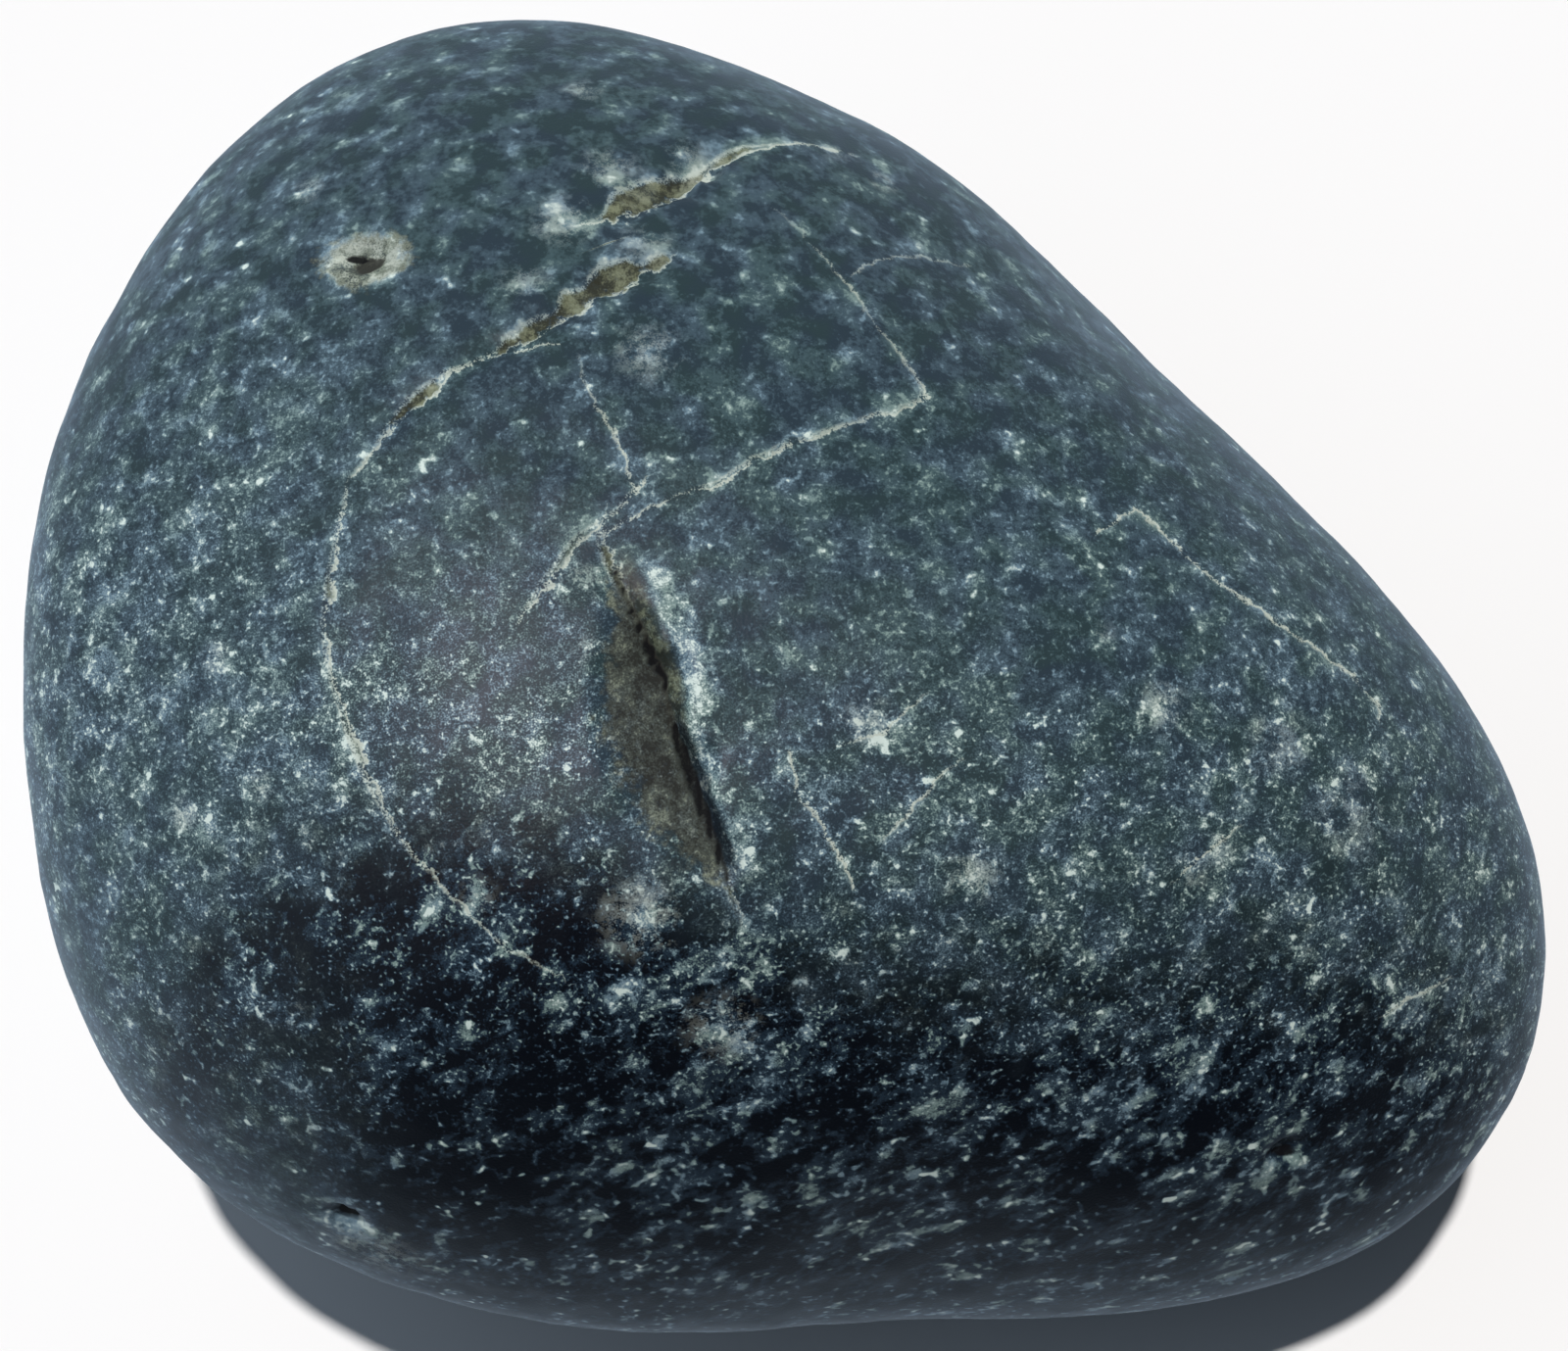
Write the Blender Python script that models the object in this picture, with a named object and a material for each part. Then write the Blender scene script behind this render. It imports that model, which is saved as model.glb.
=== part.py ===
"""A waterworn cobble of nephrite jade, one solid in metres with +Z up.

The cobble is a rounded triangle in plan. Its widest line, the girdle, runs round it at a height
that changes with the bearing. Above the girdle a domed crown leans in most steeply at the front
(-Y), where a broad worn face falls from a shoulder. Below it the underside rounds in to a small
worn flat, on which the cobble rests. The flat lies at z = 0, and the middle of the cobble's box
is on the Z axis. A gash, two open cracks and a few pits are sunk into the crown.
"""

from math import pi

import bmesh
import bpy
import numpy as np

MM = 0.001

# Plan outline at the girdle: distance from the stone's axis every 20 degrees, from +X towards +Y.
OUTLINE = MM * np.array((32.4, 26.2, 25.1, 25.8, 28.3, 32.1, 36.9, 38.1, 37.3,
                         37.2, 38.1, 38.9, 36.5, 33.8, 33.8, 37.6, 42.2, 40.4))

# Values every 45 degrees: right, back right, back, back left, left, front left, front, front right.
GIRDLE = MM * np.array((18.0, 13.0, 19.0, 20.0, 20.0, 14.0, 10.0, 12.0))  # height of the widest line
LEAN = np.array((0.12, 0.14, 0.10, 0.06, 0.06, 0.24, 0.36, 0.31))  # how far the crown draws in
SQUARENESS = np.array((2.9, 2.5, 2.5, 2.8, 3.1, 3.7, 4.6, 3.9))  # 2 is an ellipse, more is boxier
UNDER_SQUARENESS = 2.4
LEAN_START = 1.7  # how long the crown stays upright above the girdle before it leans in

HEIGHT = 38.5 * MM  # lowest to highest point before the flat is worn
FLAT_WEAR = 0.5 * MM  # what is worn off the lowest point to make the flat
APEX = MM * np.array((-10.0, 0.0))  # plan place of the highest point
DOME_RADII = MM * np.array((190.0, 80.0))  # the crown's own curve along X and along Y

# Low swells left by uneven wear: direction of the wave, radians across the stone, height, phase.
SWELLS = (
    ((0.8, 0.5, 0.3), 6.5, 0.15 * MM, 0.4),
    ((-0.4, 0.9, 0.2), 8.0, 0.12 * MM, 1.9),
    ((0.5, -0.6, 0.6), 10.5, 0.10 * MM, 3.1),
    ((0.9, 0.1, -0.5), 13.0, 0.08 * MM, 5.0),
)

# The gash: its valley in plan, with a long sloping facet towards -X and a short wall towards +X.
GASH_VALLEY = MM * np.array(((-7.8, 1.9), (-7.0, -0.1), (-6.2, -1.9), (-5.4, -3.8), (-5.1, -5.8),
                             (-4.5, -7.3), (-3.8, -8.9), (-3.0, -10.9), (-2.3, -12.8)))
GASH_DEPTH = 1.2 * MM
FACET_SHARES = (0.0, 0.12, 0.22, 0.30, 0.38, 0.65, 0.78, 0.88, 1.0)  # of the way along the valley
FACET_WIDTHS = MM * np.array((0.3, 0.7, 1.3, 2.5, 3.1, 3.1, 2.8, 1.9, 0.4))  # at those shares
WALL_WIDTH = 0.9 * MM  # width of the wall where the gash is widest, past what is left at its tips
WALL_TIP = 0.6 * MM  # width of the wall at the two tips
GASH_SKEW = 1.2  # above 1 the deepest place is nearer the front tip
GASH_FULLNESS = 0.8  # below 1 the gash stays fuller towards the tips
GASH_FADE = 1.5  # above 1 the depth fades sooner than the wall's width does
WALL_CURVE = 1.5  # above 1 the wall is steepest at the valley

# Open cracks across the back of the crown: route in plan, half width, depth.
CRACKS = (
    (MM * np.array(((-1.9, 22.5), (-4.6, 20.6), (-6.1, 19.3), (-7.4, 18.0))), 0.75 * MM, 0.7 * MM),
    (MM * np.array(((-4.9, 15.7), (-7.1, 14.6), (-8.8, 13.6), (-10.4, 12.4), (-12.1, 11.2),
                    (-13.8, 10.3))), 0.6 * MM, 0.55 * MM),
    (MM * np.array(((-15.0, 9.7), (-16.3, 8.5), (-17.4, 7.2))), 0.45 * MM, 0.3 * MM),
)

CRACK_ENDS = 0.02  # share of a crack's length over which its depth is cut off at each end
CRACK_FADE = 0.5  # below 1 a crack keeps its depth until close to its ends

# Pits: bearing and level in degrees (level 0 is the girdle, 90 the top), radius, depth.
PITS = (
    (139.7, 54.5, 1.0 * MM, 0.6 * MM),
    (232.6, 14.9, 0.9 * MM, 0.7 * MM),
    (313.9, 25.9, 0.8 * MM, 0.6 * MM),
)
PIT_EDGE = 4  # how square a pit's edge is: 2 is a round dish

COARSE_SPLITS = 5  # splits of the icosahedron that the whole cobble starts from
FINE_EDGE = 0.62 * MM  # longest edge where the relief is fine
FINE_REACH = 0.9 * MM  # how far past the relief the fine edges go
CRACK_SPREAD = 1.5  # a crack's relief reaches this many half widths from its route
PIT_SPREAD = 1.3  # a pit's relief reaches this many radii from its centre
FINE_PASSES = 3

JADE_COLOUR = (0.030, 0.052, 0.058, 1.0)
JADE_ROUGHNESS = 0.42


def clear_scene():
    """Remove whatever objects the file holds."""
    for old in list(bpy.data.objects):
        bpy.data.objects.remove(old, do_unlink=True)


def round_the_stone(values, bearing):
    """Smooth closed curve through evenly spaced values: their Fourier series at each bearing."""
    count = len(values)
    series = np.fft.rfft(values) / count
    total = np.full_like(bearing, series[0].real)
    for turn in range(1, len(series)):
        share = 2.0 if turn * 2 < count else 1.0
        total += share * (series[turn].real * np.cos(turn * bearing)
                          - series[turn].imag * np.sin(turn * bearing))
    return total


def form(bearing, level):
    """Smooth cobble: a boxy ellipse of revolution whose radius, lean and girdle follow the bearing.

    Across the stone the radius is cos(level)^(2/n), and up it the height is sin(level)^(2/n).
    """
    crown = level >= 0.0
    power = 2.0 / np.where(crown, round_the_stone(SQUARENESS, bearing), UNDER_SQUARENESS)
    across = np.cos(level) ** power
    up = np.abs(np.sin(level)) ** power
    lean = np.where(crown, round_the_stone(LEAN, bearing), 0.0)
    radius = round_the_stone(OUTLINE, bearing) * across * (1.0 - lean * up ** LEAN_START)
    x = radius * np.cos(bearing)
    y = radius * np.sin(bearing)
    dome = HEIGHT - 0.5 * ((x - APEX[0]) ** 2 / DOME_RADII[0] + (y - APEX[1]) ** 2 / DOME_RADII[1])
    middle = GIRDLE.mean()
    girdle = middle + (round_the_stone(GIRDLE, bearing) - middle) * across ** 2
    z = np.where(crown, girdle + (dome - girdle) * up, girdle * (1.0 - up))
    return np.stack((x, y, z), axis=-1)


def inward(points):
    """Unit vectors from the points to the stone's core."""
    core = np.array((0.0, 0.0, GIRDLE.mean()))
    away = core - points
    return away / np.linalg.norm(away, axis=-1, keepdims=True)


def swell(directions):
    """Height of the low swells: a sum of sine waves across the unit directions."""
    total = np.zeros(len(directions))
    for axis, pitch, height, phase in SWELLS:
        total += height * np.sin(pitch * (directions @ np.array(axis)) + phase)
    return total


def beside_path(places, path):
    """Share of the way along a plan path, and distance beside it (positive on its right)."""
    lengths = np.linalg.norm(np.diff(path, axis=0), axis=1)
    starts = np.concatenate(((0.0,), np.cumsum(lengths)[:-1]))
    nearest = np.full(len(places), np.inf)
    share = np.zeros(len(places))
    beside = np.zeros(len(places))
    for start, end, length, before in zip(path[:-1], path[1:], lengths, starts):
        along = (end - start) / length
        offset = places - start
        run = np.clip(offset @ along, 0.0, length)
        gap = np.linalg.norm(offset - run[:, None] * along, axis=1)
        right = offset @ np.array((along[1], -along[0]))
        closer = gap < nearest
        nearest = np.where(closer, gap, nearest)
        share = np.where(closer, (before + run) / lengths.sum(), share)
        beside = np.where(closer, np.where(right >= 0.0, gap, -gap), beside)
    return share, beside


def gash_sink(places):
    """Depth of the gash: a straight facet on its right, a steep wall on its left, faded at its tips."""
    share, beside = beside_path(places, GASH_VALLEY)
    swelling = np.sin(pi * np.clip(share, 0.0, 1.0) ** GASH_SKEW) ** GASH_FULLNESS
    facet = np.clip(1.0 - beside / np.interp(share, FACET_SHARES, FACET_WIDTHS), 0.0, 1.0)
    wall = np.clip(1.0 + beside / (WALL_WIDTH * swelling + WALL_TIP), 0.0, 1.0) ** WALL_CURVE
    return GASH_DEPTH * swelling ** GASH_FADE * np.where(beside > 0.0, facet, wall)


def crack_sink(places):
    """Depth of the open cracks: a round-bottomed groove that fades at both ends."""
    total = np.zeros(len(places))
    for path, half_width, depth in CRACKS:
        share, beside = beside_path(places, path)
        fade = np.sin(pi * np.clip(share, CRACK_ENDS, 1.0 - CRACK_ENDS)) ** CRACK_FADE
        total += depth * fade * np.exp(-(beside / half_width) ** 2)
    return total


def pit_centres():
    """The pits' centres on the smooth form."""
    bearings = np.radians([pit[0] for pit in PITS])
    levels = np.radians([pit[1] for pit in PITS])
    return form(bearings, levels)


def pit_sink(points):
    """Depth of the pits: a round dish about each centre."""
    total = np.zeros(len(points))
    for centre, (_, _, radius, depth) in zip(pit_centres(), PITS):
        gap = np.linalg.norm(points - centre, axis=1) / radius
        total += depth * np.exp(-(gap ** PIT_EDGE))
    return total


def bearings_and_levels(directions):
    """Bearing and level of each unit direction."""
    bearing = np.arctan2(directions[:, 1], directions[:, 0])
    level = np.arcsin(np.clip(directions[:, 2], -1.0, 1.0))
    return bearing, level


def surface(directions):
    """Points of the finished surface for unit directions from the core."""
    bearing, level = bearings_and_levels(directions)
    smooth = form(bearing, level)
    places = smooth[:, :2]
    sink = np.where(level > 0.0, gash_sink(places) + crack_sink(places), 0.0) + pit_sink(smooth)
    return smooth + inward(smooth) * (sink - swell(directions))[:, None]


def near_relief(directions):
    """True where a direction's surface point lies on or close to the gash, a crack or a pit."""
    bearing, level = bearings_and_levels(directions)
    smooth = form(bearing, level)
    share, beside = beside_path(smooth[:, :2], GASH_VALLEY)
    close = (beside < FACET_WIDTHS.max() + FINE_REACH) & (beside > -WALL_WIDTH - FINE_REACH)
    for path, half_width, _ in CRACKS:
        close |= np.abs(beside_path(smooth[:, :2], path)[1]) < CRACK_SPREAD * half_width + FINE_REACH
    close &= level > 0.0
    for centre, (_, _, radius, _) in zip(pit_centres(), PITS):
        close |= np.linalg.norm(smooth - centre, axis=1) < PIT_SPREAD * radius + FINE_REACH
    return close


def coordinates(mesh):
    """The vertices' coordinates as one array."""
    mesh.verts.ensure_lookup_table()
    return np.array([vert.co for vert in mesh.verts], dtype=float)


def sphere_of_directions():
    """Unit sphere of triangles, with shorter edges where the cobble has fine relief."""
    mesh = bmesh.new()
    bmesh.ops.create_icosphere(mesh, subdivisions=COARSE_SPLITS, radius=1.0)
    for _ in range(FINE_PASSES):
        mesh.verts.index_update()
        directions = coordinates(mesh)
        directions /= np.linalg.norm(directions, axis=1, keepdims=True)
        bearing, level = bearings_and_levels(directions)
        points = form(bearing, level)
        ends = np.array([(edge.verts[0].index, edge.verts[1].index) for edge in mesh.edges])
        long = np.linalg.norm(points[ends[:, 0]] - points[ends[:, 1]], axis=1) > FINE_EDGE
        middles = directions[ends].mean(axis=1)
        middles /= np.linalg.norm(middles, axis=1, keepdims=True)
        chosen = long & near_relief(middles)
        mesh.edges.ensure_lookup_table()
        edges = [mesh.edges[int(index)] for index in np.flatnonzero(chosen)]
        bmesh.ops.subdivide_edges(mesh, edges=edges, cuts=1)
        bmesh.ops.triangulate(mesh, faces=mesh.faces[:])
        for vert in mesh.verts:
            vert.co.normalize()
    return mesh


def wear_flat(mesh, height):
    """Cut the underside flat at a height and close it with one level face of triangles."""
    everything = mesh.verts[:] + mesh.edges[:] + mesh.faces[:]
    cut = bmesh.ops.bisect_plane(mesh, geom=everything, plane_co=(0.0, 0.0, height),
                                 plane_no=(0.0, 0.0, 1.0), clear_inner=True)
    rim = [item for item in cut["geom_cut"] if isinstance(item, bmesh.types.BMEdge)]
    for edge in rim:
        for vert in edge.verts:
            vert.co.z = height
    filled = bmesh.ops.holes_fill(mesh, edges=rim, sides=0)
    bmesh.ops.triangulate(mesh, faces=filled["faces"])


def centre_on_axis(mesh):
    """Slide the mesh so that its box is centred on the Z axis with its lowest point at zero."""
    points = coordinates(mesh)
    low, high = points.min(axis=0), points.max(axis=0)
    shift = np.array(((low[0] + high[0]) / 2, (low[1] + high[1]) / 2, low[2]))
    bmesh.ops.translate(mesh, verts=mesh.verts[:], vec=tuple(-shift))


def make_cobble():
    """The cobble as one closed mesh object."""
    mesh = sphere_of_directions()
    for vert, point in zip(mesh.verts, surface(coordinates(mesh))):
        vert.co = point
    wear_flat(mesh, FLAT_WEAR)
    centre_on_axis(mesh)
    bmesh.ops.recalc_face_normals(mesh, faces=mesh.faces[:])
    data = bpy.data.meshes.new("cobble")
    mesh.to_mesh(data)
    mesh.free()
    cobble = bpy.data.objects.new("cobble", data)
    bpy.context.scene.collection.objects.link(cobble)
    data.shade_smooth()
    return cobble


def jade_material():
    """Dark satin blue-green jade."""
    material = bpy.data.materials.new("nephrite")
    material.use_nodes = True
    shader = material.node_tree.nodes["Principled BSDF"]
    shader.inputs["Base Color"].default_value = JADE_COLOUR
    shader.inputs["Roughness"].default_value = JADE_ROUGHNESS
    shader.inputs["Metallic"].default_value = 0.0
    return material


clear_scene()
cobble = make_cobble()
cobble.data.materials.append(jade_material())
print("cobble:", len(cobble.data.polygons), "triangles")
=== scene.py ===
# %% [markdown]
# # A waterworn cobble of nephrite jade
#
# A jade cobble is one piece of stone, so everything here is one skin: its form, the gash and cracks
# sunk into it, and a finish with the veins, the pale flecks and the satin of a river stone. The packed
# solid gives its size and place, and the skin stands in for it, with cells a few tenths of a
# millimetre wide.

# %% The frame
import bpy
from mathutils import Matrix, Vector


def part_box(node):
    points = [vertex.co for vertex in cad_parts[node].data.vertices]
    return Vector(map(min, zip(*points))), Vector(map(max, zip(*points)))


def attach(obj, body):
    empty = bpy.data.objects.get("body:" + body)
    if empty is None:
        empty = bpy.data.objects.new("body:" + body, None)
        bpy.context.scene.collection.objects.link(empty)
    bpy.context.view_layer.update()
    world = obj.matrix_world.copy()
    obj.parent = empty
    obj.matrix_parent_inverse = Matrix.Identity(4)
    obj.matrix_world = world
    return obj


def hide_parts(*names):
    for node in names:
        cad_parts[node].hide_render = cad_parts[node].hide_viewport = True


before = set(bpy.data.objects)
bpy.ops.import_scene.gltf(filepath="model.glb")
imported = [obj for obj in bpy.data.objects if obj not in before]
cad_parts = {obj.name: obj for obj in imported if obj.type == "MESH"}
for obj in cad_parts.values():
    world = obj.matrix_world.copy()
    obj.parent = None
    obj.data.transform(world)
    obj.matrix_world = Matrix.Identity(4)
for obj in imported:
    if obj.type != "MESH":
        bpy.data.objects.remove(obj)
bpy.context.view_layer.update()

from types import SimpleNamespace

import bpy
import numpy as np
from mathutils import Vector

MM = 0.001
solid_low, solid_high = (np.array(corner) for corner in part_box("cobble"))
print("solid, mm:", np.round((solid_high - solid_low) / MM, 1))

# %% [markdown]
# ## The form
#
# The stone could be sculpted, or the solid subdivided and smoothed. A formula is better: it gives the
# same skin at any fineness, and the marks can be laid on it by measurement. The form is a boxy
# ellipse of revolution whose radius, lean and height of girdle change with the bearing. Each of those
# is a smooth closed curve, the Fourier series through a few evenly spaced values.

# %% The form's dimensions
OUTLINE = MM * np.array((32.4, 26.2, 25.1, 25.8, 28.3, 32.1, 36.9, 38.1, 37.3,
                         37.2, 38.1, 38.9, 36.5, 33.8, 33.8, 37.6, 42.2, 40.4))
GIRDLE = MM * np.array((18.0, 13.0, 19.0, 20.0, 20.0, 14.0, 10.0, 12.0))
LEAN = np.array((0.12, 0.14, 0.10, 0.06, 0.06, 0.24, 0.36, 0.31))
SQUARENESS = np.array((2.9, 2.5, 2.5, 2.8, 3.1, 3.7, 4.6, 3.9))
UNDER_SQUARENESS = 2.4
LEAN_START = 1.7
HEIGHT = 38.5 * MM
FLAT_WEAR = 0.5 * MM
APEX = MM * np.array((-10.0, 0.0))
DOME_RADII = MM * np.array((190.0, 80.0))
CORE = np.array((0.0, 0.0, GIRDLE.mean()))
SWELLS = (
    ((0.8, 0.5, 0.3), 6.5, 0.15 * MM, 0.4),
    ((-0.4, 0.9, 0.2), 8.0, 0.12 * MM, 1.9),
    ((0.5, -0.6, 0.6), 10.5, 0.10 * MM, 3.1),
    ((0.9, 0.1, -0.5), 13.0, 0.08 * MM, 5.0),
)  # direction across the stone, pitch, height and phase of each swell


def round_the_stone(values, bearing):
    """Smooth closed curve: the Fourier series of the evenly spaced values, read at each bearing."""
    count = len(values)
    series = np.fft.rfft(values) / count
    total = np.full_like(bearing, series[0].real)
    for turn in range(1, len(series)):
        share = 2.0 if turn * 2 < count else 1.0
        total += share * (series[turn].real * np.cos(turn * bearing)
                          - series[turn].imag * np.sin(turn * bearing))
    return total


def form(bearing, level):
    """Radius across is cos(level)^(2/n) and height is sin(level)^(2/n), with n the squareness.

    Above the girdle the radius also draws in by lean * up^LEAN_START, and the top is a shallow dome.
    """
    crown = level >= 0.0
    power = 2.0 / np.where(crown, round_the_stone(SQUARENESS, bearing), UNDER_SQUARENESS)
    across = np.cos(level) ** power
    up = np.abs(np.sin(level)) ** power
    lean = np.where(crown, round_the_stone(LEAN, bearing), 0.0)
    radius = round_the_stone(OUTLINE, bearing) * across * (1.0 - lean * up ** LEAN_START)
    x = radius * np.cos(bearing)
    y = radius * np.sin(bearing)
    dome = HEIGHT - 0.5 * ((x - APEX[0]) ** 2 / DOME_RADII[0] + (y - APEX[1]) ** 2 / DOME_RADII[1])
    middle = GIRDLE.mean()
    girdle = middle + (round_the_stone(GIRDLE, bearing) - middle) * across ** 2
    z = np.where(crown, girdle + (dome - girdle) * up, girdle * (1.0 - up))
    return np.stack((x, y, z), axis=-1)


print("outline:", len(OUTLINE), "bearings")

# %% [markdown]
# ## The grid
#
# A grid of bearings and levels would crowd into slivers at the top, which is just where the gash is.
# So the crown is one square grid, rounded into a disc, and only the hidden underside is made of
# rings. The rows are spaced by arc length, so the cells stay even in size, and they are a little
# finer towards the middle.

# %% The grid's parameters
GRID = 244  # cells along each side of the crown's square
CROWN_SHARE = 0.56  # share of the skin, from top to bottom, under the square grid
RINGS = 38
LAST_SHARE = 0.93  # the last ring lies inside the worn flat
CROWDING = 0.30  # how much finer the middle is
PROFILE_SAMPLES = 2001
PROFILE_STEP = 20.0  # degrees between the profiles that are averaged


def even_levels(share):
    """Levels at shares of the arc length from top to bottom, measured on the average profile."""
    fine = np.linspace(np.pi / 2, -np.pi / 2, PROFILE_SAMPLES)
    bearings = np.radians(np.arange(0.0, 360.0, PROFILE_STEP))
    profile = form(np.tile(bearings, (len(fine), 1)), np.tile(fine[:, None], (1, len(bearings))))
    steps = np.linalg.norm(np.diff(profile, axis=0), axis=-1).mean(axis=1)
    length = np.concatenate(((0.0,), np.cumsum(steps)))
    return np.interp(share, length / length[-1], fine)


def crown_grid():
    """Square (u, v) to disc (u sqrt(1 - v^2/2), v sqrt(1 - u^2/2)), flattened row by row."""
    side = np.linspace(-1.0, 1.0, GRID + 1)
    side = side * (1.0 - CROWDING) + CROWDING * side ** 3
    u, v = np.meshgrid(side, side)
    x = u * np.sqrt(1.0 - v ** 2 / 2)
    y = v * np.sqrt(1.0 - u ** 2 / 2)
    return np.arctan2(y, x).ravel(), np.clip(np.hypot(x, y), 0.0, 1.0).ravel() * CROWN_SHARE


def crown_rim():
    """Indices of the square grid's edge, anticlockwise."""
    row = GRID + 1
    bottom = np.arange(0, GRID)
    right = np.arange(GRID, GRID * row, row)
    top = np.arange(row * row - 1, row * GRID, -1)
    left = np.arange(row * GRID, 0, -row)
    return np.concatenate((bottom, right, top, left))


def grid_faces():
    """Quads of the crown and of the rings below it, and the one face that closes the flat."""
    row = GRID + 1
    corner = (np.arange(GRID)[:, None] * row + np.arange(GRID)).ravel()
    crown = np.stack((corner, corner + 1, corner + row + 1, corner + row), axis=1)
    rim = crown_rim()
    loops = [rim] + [row * row + ring * len(rim) + np.arange(len(rim)) for ring in range(RINGS)]
    quads = [crown]
    for upper, lower in zip(loops[:-1], loops[1:]):
        quads.append(np.stack((upper, lower, np.roll(lower, -1), np.roll(upper, -1)), axis=1))
    return np.concatenate(quads), loops[-1][::-1]


def skin_parameters():
    """Bearing and level of every vertex of the skin."""
    bearing, share = crown_grid()
    rim = bearing[crown_rim()]
    shares = np.linspace(CROWN_SHARE, LAST_SHARE, RINGS + 1)[1:]
    bearing = np.concatenate((bearing, np.tile(rim, RINGS)))
    share = np.concatenate((share, np.repeat(shares, len(rim))))
    return bearing, even_levels(share)


bearing, level = skin_parameters()
smooth = form(bearing, level)
print("skin:", len(smooth), "vertices")

# %% [markdown]
# ## The relief
#
# A gash, two open cracks and three pits are sunk towards the core of the stone. Each is a depth that
# depends on the distance from a route drawn in plan, or from a pit's centre. A worn cobble is never
# quite even, so a field of small random swells goes over all of it. The field is a sum of many sine
# waves, which needs no picture and no table, and the seed makes it the same each time.

# %% The relief's dimensions
GASH_VALLEY = MM * np.array((
    (-7.8, 1.9), (-7.0, -0.1), (-6.2, -1.9), (-5.4, -3.8), (-5.1, -5.8), (-4.5, -7.3), (-3.8, -8.9),
    (-3.0, -10.9), (-2.3, -12.8)))
GASH_DEPTH = 1.2 * MM
FACET_SHARES = (0.0, 0.12, 0.22, 0.30, 0.38, 0.65, 0.78, 0.88, 1.0)
FACET_WIDTHS = MM * np.array((0.3, 0.7, 1.3, 2.5, 3.1, 3.1, 2.8, 1.9, 0.4))
WALL_WIDTH = 0.9 * MM
WALL_TIP = 0.6 * MM
GASH_SKEW = 1.2
GASH_FULLNESS = 0.8
GASH_FADE = 1.5
WALL_CURVE = 1.5
CREVICE_DEPTH = 0.45 * MM
CREVICE_SHIFT = 0.6  # how far the crevice lies on the facet's side of the foot, in half widths
WALL_RAGGEDNESS = 0.25
CRACK_RAGGEDNESS = 0.35
# Half width of the crevice in the gash's foot, at shares of the gash's length, in millimetres.
CREVICE_SHARES = (0.0, 0.18, 0.30, 0.38, 0.43, 0.55, 0.66, 0.78, 0.90, 1.0)
CREVICE_HALF_WIDTHS = (0.08, 0.10, 0.28, 0.30, 0.09, 0.16, 0.34, 0.26, 0.16, 0.06)
# Each open crack: its route in plan, half width and depth.
CRACKS = (
    (MM * np.array(((-1.9, 22.5), (-4.6, 20.6), (-6.1, 19.3), (-7.4, 18.0))), 0.75 * MM, 0.7 * MM),
    (MM * np.array(((-4.9, 15.7), (-7.1, 14.6), (-8.8, 13.6), (-10.4, 12.4), (-12.1, 11.2),
                    (-13.8, 10.3))), 0.6 * MM, 0.55 * MM),
    (MM * np.array(((-15.0, 9.7), (-16.3, 8.5), (-17.4, 7.2))), 0.45 * MM, 0.3 * MM),
)
CRACK_ENDS = 0.02
CRACK_FADE = 0.5
PIT_BEARINGS = np.radians((139.7, 232.6, 313.9))
PIT_LEVELS = np.radians((54.5, 14.9, 25.9))
PIT_RADII = MM * np.array((1.0, 0.9, 0.8))
PIT_DEPTHS = MM * np.array((0.6, 0.7, 0.6))
# The slit in each pit, painted black as its shadow: half length, half height, then how far right and up it
# lies, in mm.
SLITS = ((0.55, 0.26, -0.50, 0.05), (0.60, 0.42, 0.10, -0.10), (0.60, 0.34, 0.15, -0.30))
PIT_CRUSTS = (0.0, 1.0, 0.6)  # how pale the crust round each pit is
PIT_EDGE = 4
WAVE_SPREAD = (0.7, 1.5)  # least and greatest wave length, as shares of the length asked for


def waves(points, length, count, seed):
    """Random field of about unit height: the sum of sine waves in random directions."""
    rng = np.random.default_rng(seed)
    directions = rng.normal(size=(count, 3))
    directions /= np.linalg.norm(directions, axis=1, keepdims=True)
    pitches = 2 * np.pi / (length * rng.uniform(*WAVE_SPREAD, count))
    phases = rng.uniform(0, 2 * np.pi, count)
    total = np.zeros(len(points))
    for direction, pitch, phase in zip(directions, pitches, phases):
        total += np.cos(points @ direction * pitch + phase)
    return total / np.sqrt(count / 2)


def beside_route(places, route):
    """Share of the way along a plan route, and distance beside it, positive on its right."""
    lengths = np.linalg.norm(np.diff(route, axis=0), axis=1)
    starts = np.concatenate(((0.0,), np.cumsum(lengths)[:-1]))
    nearest = np.full(len(places), np.inf)
    share = np.zeros(len(places))
    beside = np.zeros(len(places))
    for start, end, length, before in zip(route[:-1], route[1:], lengths, starts):
        along = (end - start) / length
        offset = places - start
        run = np.clip(offset @ along, 0.0, length)
        gap = np.linalg.norm(offset - run[:, None] * along, axis=1)
        right = offset @ np.array((along[1], -along[0]))
        closer = gap < nearest
        nearest = np.where(closer, gap, nearest)
        share = np.where(closer, (before + run) / lengths.sum(), share)
        beside = np.where(closer, np.where(right >= 0.0, gap, -gap), beside)
    return np.clip(share, 0.0, 1.0), beside


def gash_parts(places):
    """Share along the gash, distance beside its foot, fullness, and crevice (1 in its middle)."""
    share, beside = beside_route(places, GASH_VALLEY)
    swelling = np.sin(np.pi * share ** GASH_SKEW) ** GASH_FULLNESS
    half_width = MM * np.interp(share, CREVICE_SHARES, CREVICE_HALF_WIDTHS)
    crevice = np.exp(-((beside - half_width * CREVICE_SHIFT) / half_width) ** 2)
    return share, beside, swelling, crevice


def gash_sides(share, beside, swelling, ragged):
    """How far down the facet and how far down the wall a place is: 0 at the rim, 1 at the foot."""
    facet = np.clip(1.0 - beside / np.interp(share, FACET_SHARES, FACET_WIDTHS), 0.0, 1.0)
    wall_width = (WALL_WIDTH * swelling + WALL_TIP) * (1.0 + WALL_RAGGEDNESS * ragged)
    wall = np.clip(1.0 + beside / wall_width, 0.0, 1.0)
    return facet, wall


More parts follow.
